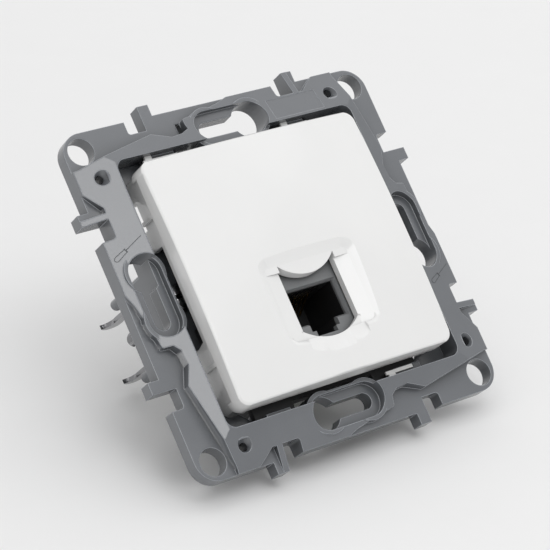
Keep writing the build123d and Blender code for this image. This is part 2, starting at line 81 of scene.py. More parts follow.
# The share of its thickness that a corner web fills, measured from its front
WEB_SHARE = 0.94

# Rib corners in front of this plane that stand less than this proud are sunk onto the dome
RIB_FRONT = -9.9 * MM
PROUD_LIMIT = 0.1 * MM

# A point this near the sphere, on a face turned this far to the room, belongs to the dome
DOME_NEAR = 0.003 * MM
DOME_FACING = -0.98

# The bare field on the top land, and how far its cutter stands over the land
FIELD_X = (10.3 * MM, 22.0 * MM)
FIELD_Z = (28.05 * MM, 32.5 * MM)
FIELD_CUTTER = 0.8 * MM

# The tool mark's lines along and across its own axis, in mm, its two places and its direction
MARK_HANDLE = ((2.85, 0.36), (2.3, 0.38), (0.55, 0.47), (0.15, 0.33), (0.0, 0.0),
               (0.15, -0.33), (0.55, -0.47), (2.3, -0.38), (2.85, -0.36), (2.85, 0.36))
MARK_COLLAR = ((2.97, 0.44), (2.97, -0.44))
MARK_SHAFT = ((2.97, 0.0), (6.95, 0.0))
MARK_PLACES = ((-34.75, 9.3), (28.6, -12.31))
MARK_ALONG = (0.896, 0.444)

# A claw screw's thread: its run-out under the seat and before the tip, and its foot in the core
THREAD_START = 1.2 * MM
THREAD_TAIL = 0.9 * MM
THREAD_FOOT = 0.01 * MM

# The camera fitted to the view, in the socket's own frame
CAMERA_LENS = 153.97
CAMERA_SENSOR = 36.0
CAMERA_PLACE = (-0.24573, -0.37062, -0.08956)
CAMERA_LOOK = (0.54042, 0.81819, 0.19626)
CAMERA_TOP = (0.23595, -0.37126, 0.89805)

# The table's half side, and its clearance under the socket's lowest point
TABLE_HALF = 1.5
TABLE_GAP = 0.2 * MM

# Soft panels level over the table: middle to the right, up and towards the camera, then width,
# depth and brightness
PANELS = (
    ("key_panel", (0.12, 0.7, 0.25), 0.94, 0.84, 1.14),
    ("ceiling_panel", (0.15, 0.9, -0.85), 1.95, 1.5, 0.82),
    ("rear_panel", (0.1, 0.35, -0.75), 1.4, 0.4, 1.5),
    ("front_box", (0.28, 0.7, 0.43), 0.44, 0.44, 5.6),
)


# Sizes and colours that a user would change

def length(name, description, value):
    """A length in metres."""
    return FloatProperty(name=name, description=description, default=value, min=0.0,
                         subtype="DISTANCE", unit="LENGTH", precision=5)


def colour(name, description, value):
    """A colour in linear red, green and blue."""
    return FloatVectorProperty(name=name, description=description, default=value,
                               size=3, min=0.0, max=1.0, subtype="COLOR")


class SocketSizes(PropertyGroup):
    frame_edge: length("Frame edge", "Rounding of the support frame's edges", 0.34 * MM)
    cover_edge: length("Cover edge", "Rounding of the cover's edges", 0.14 * MM)
    small_edge: length("Small edge", "Rounding of the jack, tray, cap and screw edges", 0.12 * MM)
    metal_edge: length("Metal edge", "Rounding of the pressed claws' edges", 0.16 * MM)
    dome_radius: length("Dome radius", "Curve of the cover's front", 320.0 * MM)
    dome_top: length("Dome top", "How far the dome stands out from the wall", 11.2 * MM)
    thread_pitch: length("Thread pitch", "Advance of the claw screw in one turn", 0.7 * MM)
    thread_depth: length("Thread depth", "Depth of the claw screw's thread", 0.28 * MM)
    shank_radius: length("Shank radius", "Outside radius of the screw's thread", 1.5 * MM)
    wire_pitch: length("Wire pitch", "Distance between neighbouring spring wires", 1.02 * MM)
    wire_width: length("Wire width", "Thickness of one spring wire", 0.36 * MM)
    wire_bend: length("Wire bend", "Radius of the fold at the front of a wire", 0.36 * MM)
    mark_line: length("Mark line", "Radius of the raised lines of the tool marks", 0.07 * MM)
    land_edge: length("Land edge", "Height of the frame's inner rim over the wall", 6.0 * MM)
    catch_bar: length("Catch strip", "Width of the small white strips in the gap", 0.7 * MM)
    web_leg: length("Web leg", "Leg of the web across an inner corner", 9.5 * MM)
    web_thick: length("Web thickness", "Thickness of the inner corner webs", 0.5 * MM)
    field_depth: length("Field depth", "Depth of the bare field on the top land", 0.09 * MM)


class SocketFinishes(PropertyGroup):
    frame_grey: colour("Frame grey", "Moulded support frame", (0.143, 0.151, 0.164))
    cover_white: colour("Cover white", "Glossy cover plate", (0.83, 0.83, 0.825))
    # Near black: partly the tray's own dark plastic, partly painted shade of the deep gap behind
    # the cover
    tray_dark: colour("Tray dark", "Jack carrier behind the cover", (0.012, 0.0122, 0.013))
    jack_grey: colour("Jack grey", "Jack housing", (0.19, 0.195, 0.2))
    # Near black: partly the lining's own dark plastic, partly painted shade of the deep plug
    # cavity
    insert_black: colour("Insert black", "Lining of the plug cavity", (0.013, 0.013, 0.014))
    block_white: colour("Block white", "Punch-down block and its cap", (0.62, 0.62, 0.58))
    steel: colour("Bright steel", "Plated claws and claw screws", (0.34, 0.34, 0.35))
    gold: colour("Contact gold", "Spring wires", (0.9, 0.62, 0.24))
    board_green: colour("Board green", "Solder mask of the small board", (0.02, 0.11, 0.045))


class SocketStudio(PropertyGroup):
    lean: FloatProperty(name="Lean", description="How far the socket leans back on its claws",
                        default=math.radians(45.9), subtype="ANGLE", unit="ROTATION")
    panel_power: FloatProperty(name="Panels", description="Watts per square metre of soft panel",
                               default=1.59, min=0.0)
    fill: FloatProperty(name="Fill", description="Strength of the even light all round",
                        default=0.6, min=0.0)


# Mesh helpers

def link(name, mesh):
    """A new object for a finished mesh, at the origin."""
    piece = bpy.data.objects.new(name, mesh)
    bpy.context.scene.collection.objects.link(piece)
    return piece


def link_shape(name, shape):
    """A new object for a bmesh, which is freed."""
    mesh = bpy.data.meshes.new(name)
    shape.to_mesh(mesh)
    shape.free()
    return link(name, mesh)


def face_outwards(mesh):
    """Turns all faces of a closed mesh outwards."""
    shape = bmesh.new()
    shape.from_mesh(mesh)
    bmesh.ops.recalc_face_normals(shape, faces=shape.faces)
    shape.to_mesh(mesh)
    shape.free()


def baked(piece):
    """Turns a piece with modifiers into a plain mesh and drops the modifiers."""
    bpy.context.view_layer.update()
    graph = bpy.context.evaluated_depsgraph_get()
    mesh = bpy.data.meshes.new_from_object(piece.evaluated_get(graph))
    piece.modifiers.clear()
    old = piece.data
    piece.data = mesh
    bpy.data.meshes.remove(old)
    return piece


def cad_copy(node, name):
    """A copy of a CAD node with its doubles merged and its flat faces joined up."""
    shape = bmesh.new()
    shape.from_mesh(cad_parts[node].data)
    bmesh.ops.remove_doubles(shape, verts=shape.verts, dist=DOUBLES)
    bmesh.ops.dissolve_limit(shape, angle_limit=math.radians(0.06),
                             verts=shape.verts, edges=shape.edges)
    return link_shape(name, shape)


def add_box(shape, xs, ys, zs):
    """Adds a closed box with outward faces to a bmesh."""
    made = bmesh.ops.create_cube(shape, size=1.0)["verts"]
    size = [b - a for a, b in (xs, ys, zs)]
    middle = [(a + b) / 2 for a, b in (xs, ys, zs)]
    bmesh.ops.scale(shape, vec=size, verts=made)
    bmesh.ops.translate(shape, vec=middle, verts=made)


def smooth(piece, angle=28.0):
    """Smooths the round faces, keeps the edges and lets flat faces look flat."""
    piece.data.shade_smooth()
    piece.data.set_sharp_from_angle(angle=math.radians(angle))
    weight = piece.modifiers.new("normals", "WEIGHTED_NORMAL")
    weight.keep_sharp = True
    return baked(piece)


def smooth_round(piece):
    """Smooths a swept piece and keeps its sharp edges."""
    piece.data.shade_smooth()
    piece.data.set_sharp_from_angle(angle=math.radians(40.0))


def soften(piece, width):
    """Rounds the sharp edges in the mesh itself."""
    bevel = piece.modifiers.new("edges", "BEVEL")
    bevel.width = width
    bevel.segments = 2
    bevel.limit_method = "ANGLE"
    bevel.angle_limit = math.radians(28.0)
    bevel.miter_outer = "MITER_SHARP"
    baked(piece)
    return smooth(piece, angle=50.0)


def dress(piece, material, body, slot, *nodes):
    """Gives a piece its material and its place in the frame."""
    piece.data.materials.clear()
    piece.data.materials.append(material)
    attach(piece, body)
    if nodes:
        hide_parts(*nodes)
    return piece


def repaint(material, *nodes):
    """Gives CAD nodes whose shape stays a better material."""
    for node in nodes:
        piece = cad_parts[node]
        piece.data.materials.clear()
        piece.data.materials.append(material)


# Node helpers

def feed(tree, socket, value):
    """Feeds an input from another socket, or sets it to a plain value."""
    if isinstance(value, NodeSocket):
        tree.links.new(value, socket)
    else:
        socket.default_value = value


def put(tree, kind, inputs=None, **values):
    """Adds a node, sets its properties and feeds its inputs."""
    node = tree.nodes.new(kind)
    for key, value in values.items():
        setattr(node, key, value)
    for label, value in (inputs or {}).items():
        feed(tree, node.inputs[label], value)
    return node


def maths(tree, operation, first, second):
    """The result of one sum on two sockets or numbers."""
    return put(tree, "ShaderNodeMath", {0: first, 1: second}, operation=operation).outputs[0]


def noise(tree, vector, scale, detail, rough):
    """A noise texture on the given coordinates."""
    node = put(tree, "ShaderNodeTexNoise", {
        "Vector": vector, "Scale": scale, "Detail": detail, "Roughness": rough})
    return node.outputs["Fac"]


def ramp(tree, value, low, high):
    """Maps a value between low and high onto 0 to 1, clamped."""
    node = put(tree, "ShaderNodeMapRange", {"Value": value, "From Min": low, "From Max": high})
    return node.outputs["Result"]


def spread(tree, value, low, high):
    """Turns a 0 to 1 mask into a range such as a roughness."""
    node = put(tree, "ShaderNodeMapRange", {"Value": value, "To Min": low, "To Max": high})
    return node.outputs["Result"]


# Shader groups that several materials share

def group_tree(name, inputs, outputs):
    """An empty shader group with number inputs."""
    tree = bpy.data.node_groups.new(name, "ShaderNodeTree")
    for label, value in inputs:
        socket = tree.interface.new_socket(label, in_out="INPUT", socket_type="NodeSocketFloat")
        socket.default_value = value
    for label, kind in outputs:
        tree.interface.new_socket(label, in_out="OUTPUT", socket_type=kind)
    return tree, put(tree, "NodeGroupInput"), put(tree, "NodeGroupOutput")


def moulding_group(name):
    """Spark-eroded mould texture: a fine height, a slow tone and a speckle mask."""
    tree, start, end = group_tree(
        name, [("Grain Scale", 4200.0), ("Drift Scale", 90.0)],
        [("Height", "NodeSocketFloat"), ("Tone", "NodeSocketFloat"),
         ("Speckle", "NodeSocketFloat")])
    place = put(tree, "ShaderNodeTexCoord").outputs["Object"]
    fine = noise(tree, place, start.outputs["Grain Scale"], detail=2.0, rough=0.6)
    slow = noise(tree, place, start.outputs["Drift Scale"], detail=3.0, rough=0.55)
    dots = noise(tree, place, start.outputs["Grain Scale"], detail=0.0, rough=0.5)
    feed(tree, end.inputs["Height"], fine)
    feed(tree, end.inputs["Tone"], ramp(tree, slow, low=0.3, high=0.7))
    feed(tree, end.inputs["Speckle"], ramp(tree, dots, low=0.58, high=0.72))
    return tree


def smear_group(name):
    """A cloudy mask of handling smears."""
    tree, start, end = group_tree(
        name, [("Smear Scale", 60.0)], [("Smears", "NodeSocketFloat")])
    place = put(tree, "ShaderNodeTexCoord").outputs["Object"]
    smear = noise(tree, place, start.outputs["Smear Scale"], detail=4.0, rough=0.6)
    feed(tree, end.inputs["Smears"], ramp(tree, smear, low=0.35, high=0.7))
    return tree


def rounding_group(name):
    """A normal that turns over every edge, and a mask of 1 along edges and 0 on open faces;
    plastic paints its edge highlight along this mask.
    """
    tree, start, end = group_tree(
        name, [("Radius", 0.12 * MM)],
        [("Normal", "NodeSocketVector"), ("Edges", "NodeSocketFloat")])
    turned = put(tree, "ShaderNodeBevel", {"Radius": start.outputs["Radius"]}, samples=8)
    level = put(tree, "ShaderNodeNewGeometry")
    apart = put(tree, "ShaderNodeVectorMath", {
        0: turned.outputs["Normal"], 1: level.outputs["Normal"]}, operation="DOT_PRODUCT")
    feed(tree, end.inputs["Normal"], turned.outputs["Normal"])
    feed(tree, end.inputs["Edges"], ramp(tree, apart.outputs["Value"], low=0.985, high=0.84))
    return tree


def painted_shade_group(name):
    """A mask of 1 deep in hollows and corners and 0 in the open, felt over a reach; it drives
    painted shade.
    """
    tree, start, end = group_tree(name, [("Reach", 5.0 * MM)], [("Hollow", "NodeSocketFloat")])
    felt = put(tree, "ShaderNodeAmbientOcclusion", {"Distance": start.outputs["Reach"]},
               samples=12)
    feed(tree, end.inputs["Hollow"], ramp(tree, felt.outputs["AO"], low=0.92, high=0.25))
    return tree


SHARED_GROUPS = {
    "Moulded surface": moulding_group,
    "Handling smears": smear_group,
    "Rounded edges": rounding_group,
    "Hollows": painted_shade_group,
}


def place_group(tree, name, inputs=None):
    """Places a shared group in a material; the group is built on its first use."""
    group = bpy.data.node_groups.get(name) or SHARED_GROUPS[name](name)
    return put(tree, "ShaderNodeGroup", inputs, node_tree=group)


# Materials

def new_material(name):
    """A material with an empty Principled surface; returns material, tree and shader."""
    material = bpy.data.materials.new(name)
    material.use_nodes = True
    tree = material.node_tree
    shader = tree.nodes["Principled BSDF"]
    return material, tree, shader


def scaled(rgb, factor):
    """A colour made lighter or darker."""
    return tuple(min(1.0, c * factor) for c in rgb)


def two_tones(tree, factor, first, second):
    """A colour between two tones of one finish; the first may be a socket."""
    if not isinstance(first, NodeSocket):
        first = (*first, 1.0)
    mix = put(tree, "ShaderNodeMix", {"Factor": factor, "A": first, "B": (*second, 1.0)},
              data_type="RGBA")
    return mix.outputs["Result"]


def paint_hollow_shade(tree, body, dark, reach):
    """A colour with painted shade: it turns dark in the hollows, where shade falls."""
    felt = place_group(tree, "Hollows", {"Reach": reach})
    return two_tones(tree, felt.outputs["Hollow"], body, dark)


def bump(tree, shader, height, strength, distance, edge=0.0):
    """Feeds a height to the shader's normal, over edges rounded by a radius."""
    inputs = {"Height": height, "Strength": strength, "Distance": distance}
    if edge:
        rounded = place_group(tree, "Rounded edges", {"Radius": edge})
        inputs["Normal"] = rounded.outputs["Normal"]
    feed(tree, shader.inputs["Normal"], put(tree, "ShaderNodeBump", inputs).outputs["Normal"])


def plastic(name, rgb, rough, edge, grain=4200.0, depth=0.02 * MM, strength=0.35, contrast=0.05,
            specular=0.5, painted_light_and_shade=1.0):
    """Moulded plastic with a mould texture, slow colour drift and uneven gloss.

    Where the last argument is over 1, the edges carry a painted highlight that much lighter, and
    the hollows carry painted shade.
    """
    material, tree, shader = new_material(name)
    surface = place_group(tree, "Moulded surface", {"Grain Scale": grain})
    tone = two_tones(tree, surface.outputs["Tone"], scaled(rgb, 1 - contrast),
                     scaled(rgb, 1 + contrast))
    speckled = put(tree, "ShaderNodeMix", {
        "Factor": surface.outputs["Speckle"], "A": tone,
        "B": (1 - contrast, 1 - contrast, 1 - contrast, 1.0)},
        data_type="RGBA", blend_type="MULTIPLY")
    body = speckled.outputs["Result"]
    # Painted light: a painted highlight along the edges and painted shade in the hollows
    if painted_light_and_shade > 1.0:
        body = paint_hollow_shade(tree, body, dark=scaled(rgb, 0.5), reach=5.0 * MM)
        highlit_edges = place_group(tree, "Rounded edges", {"Radius": edge * 0.8})
        body = two_tones(tree, highlit_edges.outputs["Edges"], body, scaled(rgb, painted_light_and_shade))
    feed(tree, shader.inputs["Base Color"], body)
    feed(tree, shader.inputs["Roughness"], spread(tree, surface.outputs["Tone"], *rough))
    feed(tree, shader.inputs["Specular IOR Level"], specular)
    bump(tree, shader, surface.outputs["Height"], strength, depth, edge)
    return material


def gloss_white(name, rgb, rough, edge):
    """Polished white plastic with faint handling smears, and painted shade in its hollows."""
    material, tree, shader = new_material(name)
    surface = place_group(tree, "Moulded surface", {"Grain Scale": 500.0})
    marks = place_group(tree, "Handling smears")
    tone = two_tones(tree, surface.outputs["Tone"], scaled(rgb, 0.992), scaled(rgb, 1.006))
    # Painted shade: the cover darkens in its recesses and corners
    body = paint_hollow_shade(tree, tone, dark=scaled(rgb, 0.72), reach=1.2 * MM)
    feed(tree, shader.inputs["Base Color"], body)
    feed(tree, shader.inputs["Roughness"], spread(tree, marks.outputs["Smears"], *rough))
    bump(tree, shader, surface.outputs["Height"], strength=0.05, distance=0.01 * MM, edge=edge)
    return material


def metal(name, rgb, rough):
    """Plated metal with a fine grain and cloudy dulling."""
    material, tree, shader = new_material(name)
    surface = place_group(tree, "Moulded surface", {"Grain Scale": 3000.0})
    marks = place_group(tree, "Handling smears")
    tone = two_tones(tree, marks.outputs["Smears"], scaled(rgb, 0.9), scaled(rgb, 1.05))
    feed(tree, shader.inputs["Base Color"], tone)
    feed(tree, shader.inputs["Metallic"], 1.0)
    feed(tree, shader.inputs["Roughness"], spread(tree, marks.outputs["Smears"], *rough))
    bump(tree, shader, surface.outputs["Height"], strength=0.12, distance=0.01 * MM)
    return material


def board_mask(name, rgb):
    """Solder mask with buried tracks showing as slightly lighter runs."""
    material, tree, shader = new_material(name)
    place = put(tree, "ShaderNodeTexCoord").outputs["Object"]
    lay = put(tree, "ShaderNodeMapping", {"Vector": place, "Rotation": (math.pi / 2, 0.0, 0.0)})
    tracks = put(tree, "ShaderNodeTexBrick", {
        "Vector": lay.outputs["Vector"], "Scale": 420.0, "Mortar Size": 0.05,
        "Brick Width": 1.6, "Row Height": 0.45})
    tone = two_tones(tree, tracks.outputs["Fac"], rgb, scaled(rgb, 1.8))
    feed(tree, shader.inputs["Base Color"], tone)
    feed(tree, shader.inputs["Roughness"], 0.28)
    bump(tree, shader, tracks.outputs["Fac"], strength=0.3, distance=0.03 * MM)
    return material


def table_white(name):
    """Matt white table, see-through from below so every side can be viewed."""
    material, tree, shader = new_material(name)
    surface = place_group(tree, "Moulded surface", {"Grain Scale": 900.0})
    tone = two_tones(tree, surface.outputs["Tone"], (0.83, 0.83, 0.83), (0.835, 0.835, 0.835))
    feed(tree, shader.inputs["Base Color"], tone)
    feed(tree, shader.inputs["Roughness"], 0.9)
    feed(tree, shader.inputs["Specular IOR Level"], 0.1)
    side = put(tree, "ShaderNodeNewGeometry")
    clear = put(tree, "ShaderNodeBsdfTransparent")
    both = put(tree, "ShaderNodeMixShader", {
        "Fac": side.outputs["Backfacing"], 1: shader.outputs["BSDF"], 2: clear.outputs["BSDF"]})
    feed(tree, tree.nodes["Material Output"].inputs["Surface"], both.outputs["Shader"])
    return material


def finish_of(which):
    """The material of one finish, made on first use."""
    tint = bpy.context.scene.socket_finishes
    sizes = bpy.context.scene.socket_sizes
    small = sizes.small_edge
    recipes = {
        # Frame: painted highlights along its edges and painted shade in its hollows
        "frame": ("Frame grey plastic", plastic, {
            "rgb": tint.frame_grey, "rough": (0.18, 0.23), "edge": sizes.frame_edge,
            "grain": 5200.0, "depth": 0.03 * MM, "strength": 0.45, "contrast": 0.04,
            "specular": 0.95, "painted_light_and_shade": 2.6}),
        "mark": ("Frame mark grey", plastic, {
            "rgb": scaled(tint.frame_grey, 0.62), "rough": (0.2, 0.26), "edge": small}),
        "cover": ("Cover white plastic", gloss_white, {
            "rgb": tint.cover_white, "rough": (0.09, 0.13), "edge": sizes.cover_edge}),
        # The tray's near-black is partly painted shade of the gap
        "tray": ("Tray dark plastic", plastic, {
            "rgb": tint.tray_dark, "rough": (0.5, 0.6), "edge": small}),
        "jack": ("Jack grey plastic", plastic, {
            "rgb": tint.jack_grey, "rough": (0.38, 0.48), "edge": small,
            "grain": 6000.0, "depth": 0.015 * MM, "strength": 0.3, "contrast": 0.03}),
        # The lining's near-black is partly painted shade of the cavity
        "insert": ("Insert black plastic", plastic, {
            "rgb": tint.insert_black, "rough": (0.4, 0.5), "edge": small}),
        "block": ("Block white plastic", plastic, {
            "rgb": tint.block_white, "rough": (0.3, 0.4), "edge": small,
            "grain": 5000.0, "depth": 0.01 * MM, "strength": 0.2, "contrast": 0.02}),
        "steel": ("Bright plated steel", metal, {"rgb": tint.steel, "rough": (0.16, 0.26)}),
        "gold": ("Gold plated wire", metal, {"rgb": tint.gold, "rough": (0.18, 0.28)}),
        "board": ("Green solder mask", board_mask, {"rgb": tint.board_green}),
        "table": ("White table", table_white, {}),
    }
    name, make, values = recipes[which]
    return bpy.data.materials.get(name) or make(name, **values)


# Geometry Nodes trees

def rule_tree(name, inputs):
    """An empty geometry tree: a geometry socket, the named inputs and a material."""
    tree = bpy.data.node_groups.new(name, "GeometryNodeTree")
    tree.interface.new_socket("Geometry", in_out="INPUT", socket_type="NodeSocketGeometry")
    for label, kind, value in inputs:
        socket = tree.interface.new_socket(label, in_out="INPUT", socket_type=kind)
        socket.default_value = value
    tree.interface.new_socket("Material", in_out="INPUT", socket_type="NodeSocketMaterial")
    tree.interface.new_socket("Geometry", in_out="OUTPUT", socket_type="NodeSocketGeometry")
    return tree, put(tree, "NodeGroupInput"), put(tree, "NodeGroupOutput")


def close_tree(tree, start, end, result):
    """Ends a tree with Realize Instances and Set Material."""
    real = put(tree, "GeometryNodeRealizeInstances", {"Geometry": result})
    paint = put(tree, "GeometryNodeSetMaterial", {
        "Geometry": real.outputs["Geometry"], "Material": start.outputs["Material"]})
    feed(tree, end.inputs["Geometry"], paint.outputs["Geometry"])
    return tree


def swept(tree, line, profile):
    """A capped mesh along a curve."""
    body = put(tree, "GeometryNodeCurveToMesh", {
        "Curve": line, "Profile Curve": profile, "Fill Caps": True})
    return body.outputs["Mesh"]


def grown(name, tree, lines, values):
    """A piece made by a tree on a polyline mesh, baked to a plain mesh."""
    mesh = bpy.data.meshes.new(name)
    verts, edges = [], []
    for line in lines:
        first = len(verts)
        verts += line
        edges += [(i, i + 1) for i in range(first, len(verts) - 1)]
    mesh.from_pydata(verts, edges, [])
    piece = link(name, mesh)
    rule = piece.modifiers.new("rule", "NODES")
    rule.node_group = tree
    for item in tree.interface.items_tree:
        if item.in_out == "INPUT" and item.name in values:
            rule[item.identifier] = values[item.name]
    baked(piece)
    face_outwards(piece.data)
    return piece


def thread_tree():
    """A right-hand thread ridge along +Y, wound round a core."""
    tree, start, end = rule_tree("Screw thread", [
        ("Core Radius", "NodeSocketFloat", 1.2 * MM), ("Depth", "NodeSocketFloat", 0.3 * MM),
        ("Pitch", "NodeSocketFloat", 0.7 * MM), ("Turns", "NodeSocketFloat", 25.0),
        ("Place", "NodeSocketVector", (0.0, 0.0, 0.0))])
    given = start.outputs
    coil = put(tree, "GeometryNodeCurveSpiral", {
        "Resolution": 20, "Rotations": given["Turns"],
        "Start Radius": given["Core Radius"], "End Radius": given["Core Radius"],
        "Height": maths(tree, "MULTIPLY", given["Turns"], given["Pitch"])})
    upright = put(tree, "GeometryNodeSetCurveNormal", {"Curve": coil.outputs["Curve"]},
                  mode="Z_UP")
    ridge = put(tree, "GeometryNodeCurvePrimitiveQuadrilateral", mode="KITE")
    feed(tree, ridge.inputs["Bottom Height"], given["Depth"])
    feed(tree, ridge.inputs["Top Height"], given["Depth"])
    feed(tree, ridge.inputs["Width"], maths(tree, "MULTIPLY", given["Depth"], 2.0))
    lay = put(tree, "GeometryNodeTransform", {
        "Geometry": swept(tree, upright.outputs["Curve"], ridge.outputs["Curve"]),
        "Translation": given["Place"], "Rotation": (-math.pi / 2, 0.0, 0.0)})
    return close_tree(tree, start, end, lay.outputs["Geometry"])


def wire_tree():
    """Flat-sided wires along one path, filleted at its bends and set side by side."""
    tree, start, end = rule_tree("Spring wires", [
        ("Count", "NodeSocketInt", WIRE_COUNT), ("Pitch", "NodeSocketFloat", 1.02 * MM),
        ("Width", "NodeSocketFloat", 0.36 * MM), ("Bend", "NodeSocketFloat", 0.36 * MM)])
    given = start.outputs
    path = put(tree, "GeometryNodeMeshToCurve", {"Mesh": given["Geometry"]})
    bend = put(tree, "GeometryNodeFilletCurve", mode="POLY")
    feed(tree, bend.inputs["Curve"], path.outputs["Curve"])
    feed(tree, bend.inputs["Count"], 10)
    feed(tree, bend.inputs["Radius"], given["Bend"])
    side = put(tree, "GeometryNodeCurvePrimitiveQuadrilateral", mode="RECTANGLE")
    feed(tree, side.inputs["Width"], given["Width"])
    feed(tree, side.inputs["Height"], given["Width"])
    section = put(tree, "GeometryNodeFilletCurve", mode="POLY")
    feed(tree, section.inputs["Curve"], side.outputs["Curve"])
    feed(tree, section.inputs["Count"], 2)
    feed(tree, section.inputs["Radius"], maths(tree, "MULTIPLY", given["Width"], 0.2))
    wire = swept(tree, bend.outputs["Curve"], section.outputs["Curve"])
    # The row is centred: it starts half its length to the left
    gaps = maths(tree, "SUBTRACT", given["Count"], 1.0)
    reach = maths(tree, "MULTIPLY", gaps, given["Pitch"])
    first = put(tree, "ShaderNodeCombineXYZ", {"X": maths(tree, "MULTIPLY", reach, -0.5)})
    step = put(tree, "ShaderNodeCombineXYZ", {"X": given["Pitch"]})
    row = put(tree, "GeometryNodeMeshLine", {
        "Count": given["Count"], "Start Location": first.outputs["Vector"],
        "Offset": step.outputs["Vector"]})
    wires = put(tree, "GeometryNodeInstanceOnPoints", {
        "Points": row.outputs["Mesh"], "Instance": wire})
    return close_tree(tree, start, end, wires.outputs["Instances"])


def raised_line_tree():
    """A rounded ridge along every line of the input."""
    tree, start, end = rule_tree("Raised lines", [
        ("Radius", "NodeSocketFloat", 0.08 * MM), ("Facets", "NodeSocketInt", 8)])
    given = start.outputs
    path = put(tree, "GeometryNodeMeshToCurve", {"Mesh": given["Geometry"]})
    ring = put(tree, "GeometryNodeCurvePrimitiveCircle", {
        "Resolution": given["Facets"], "Radius": given["Radius"]})
    ridge = swept(tree, path.outputs["Curve"], ring.outputs["Curve"])
    return close_tree(tree, start, end, ridge)


# Pieces

def land_height(sizes, across):
    """Height of the sloping land at a distance from the frame's middle."""
    return sizes.land_edge - LAND_SLOPE * (across - OPENING_HALF)


class SOCKET_OT_support_frame(Operator):
    """Support frame with a bare sunk field, tool marks, corner webs and catch strips"""

    bl_idname = "socket.support_frame"
    bl_label = "Support Frame"

    def execute(self, context):
        sizes = context.scene.socket_sizes
        piece = cad_copy("support_frame", "frame_moulding")
        self.sink_field(piece, sizes)
        smooth(piece, angle=14.0)
        dress(piece, finish_of("frame"), "socket", "frame_plastic", "support_frame")
        marks = grown("tool_marks", raised_line_tree(), self.mark_lines(sizes),
                      {"Radius": sizes.mark_line, "Material": finish_of("mark")})
        marks.data.shade_smooth()
        dress(marks, finish_of("mark"), "socket", "frame_plastic")
        dress(self.corner_webs(sizes), finish_of("frame"), "socket", "frame_plastic")
        dress(self.catch_strips(sizes), finish_of("cover"), "socket", "cover_plastic")
        return {"FINISHED"}

    def catch_strips(self, sizes):
        """Small white strips that run along the gap, each on a foot in the land's inner wall."""
        shape = bmesh.new()
        low = OPENING_HALF - CATCH_INSET
        high = low + sizes.catch_bar
        root = OPENING_HALF + CATCH_ROOT
        for left, run, up in CATCH_STRIPS:
            foot = (left + CATCH_FOOT[0], left + CATCH_FOOT[1])
            add_box(shape, (left, left + run), CATCH_FRONT_BACK, sorted((up * low, up * high)))
            add_box(shape, foot, CATCH_FRONT_BACK, sorted((up * high, up * root)))
        return link_shape("catch_strips", shape)

    def corner_webs(self, sizes):
        """Thin webs across the opening's inner corners, a hair in front of the back."""
        shape = bmesh.new()
        short = OPENING_HALF - sizes.web_leg
        for sx, sz in ((1, 1), (-1, 1), (-1, -1), (1, -1)):
            outline = ((sx * OPENING_HALF, sz * OPENING_HALF), (sx * short, sz * OPENING_HALF),
                       (sx * OPENING_HALF, sz * short))
            base = shape.faces.new([shape.verts.new((x, -sizes.web_thick, z))
                                    for x, z in outline])
            solid = bmesh.ops.extrude_face_region(shape, geom=[base])
            moved = [v for v in solid["geom"] if isinstance(v, bmesh.types.BMVert)]
            bmesh.ops.translate(shape, vec=(0, sizes.web_thick * WEB_SHARE, 0), verts=moved)
        bmesh.ops.recalc_face_normals(shape, faces=shape.faces)
        return link_shape("corner_webs", shape)

    def sink_field(self, piece, sizes):
        """Cuts a shallow rectangle with its floor parallel to the top land."""
        (x0, x1), (z0, z1) = FIELD_X, FIELD_Z
        points = []
        for rise in (-sizes.field_depth, FIELD_CUTTER):
            for x, z in ((x0, z0), (x1, z0), (x1, z1), (x0, z1)):
                points.append((x, -land_height(sizes, z) - rise, z))
        faces = [(0, 1, 2, 3), (7, 6, 5, 4), (0, 4, 5, 1), (1, 5, 6, 2), (2, 6, 7, 3),
                 (3, 7, 4, 0)]
        mesh = bpy.data.meshes.new("field_cutter")
        mesh.from_pydata(points, [], faces)
        face_outwards(mesh)
        cutter = link("field_cutter", mesh)
        cut = piece.modifiers.new("field", "BOOLEAN")
        cut.operation = "DIFFERENCE"
        cut.solver = "EXACT"
        cut.object = cutter
        baked(piece)
        bpy.data.objects.remove(cutter)
        bpy.data.meshes.remove(mesh)

    def mark_lines(self, sizes):
        """Outlines of two identical screwdrivers, laid on the left and right lands."""
        cos, sin = MARK_ALONG
        lines = []
        for x, z in MARK_PLACES:
            for line in (MARK_HANDLE, MARK_COLLAR, MARK_SHAFT):
                laid = []
                for along, across in line:
                    px = (x + along * cos - across * sin) * MM
                    pz = (z + along * sin + across * cos) * MM
                    laid.append((px, -land_height(sizes, abs(px)), pz))
                lines.append(laid)
        return lines


